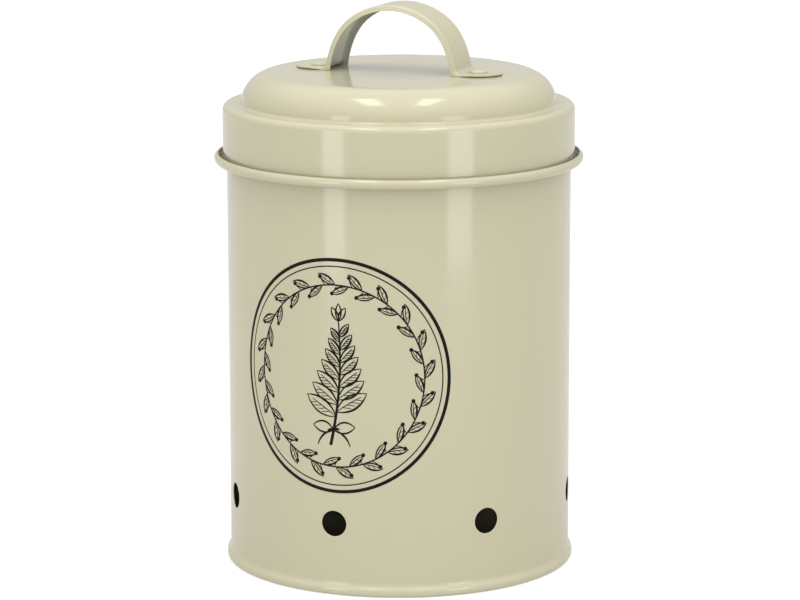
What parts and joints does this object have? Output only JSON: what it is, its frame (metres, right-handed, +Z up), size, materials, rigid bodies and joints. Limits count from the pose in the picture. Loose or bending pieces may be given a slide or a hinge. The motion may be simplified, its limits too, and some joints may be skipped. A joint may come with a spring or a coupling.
{
  "type": "garlic keeper",
  "caption": "Round vented sheet-steel keeper with a slip-on lid, an arched strap handle and a folded foot seam.",
  "frame": {"origin": "on the floor, in the middle of the drum's foot", "axes": "+Z up along the drum, -Y out of the front vent and the printed face, +X along the lid's handle"},
  "size_m": [0.1352, 0.1352, 0.2056],
  "materials": {
    "cream_enamel": "glossy cream enamel on sheet steel",
    "black_print": "thin black print on the enamel"
  },
  "bodies": {
    "drum": {"side_wall": "cream_enamel", "base_disc": "cream_enamel"},
    "lid": {"lid_shell": "cream_enamel", "handle_strap": "cream_enamel", "left_rivet": "cream_enamel", "right_rivet": "cream_enamel"}
  },
  "joints": [
    {"name": "lid_lift", "type": "slide", "parent": "drum", "child": "lid", "axis": [0, 0, 1], "range_m": [0, 0.06]}
  ]
}
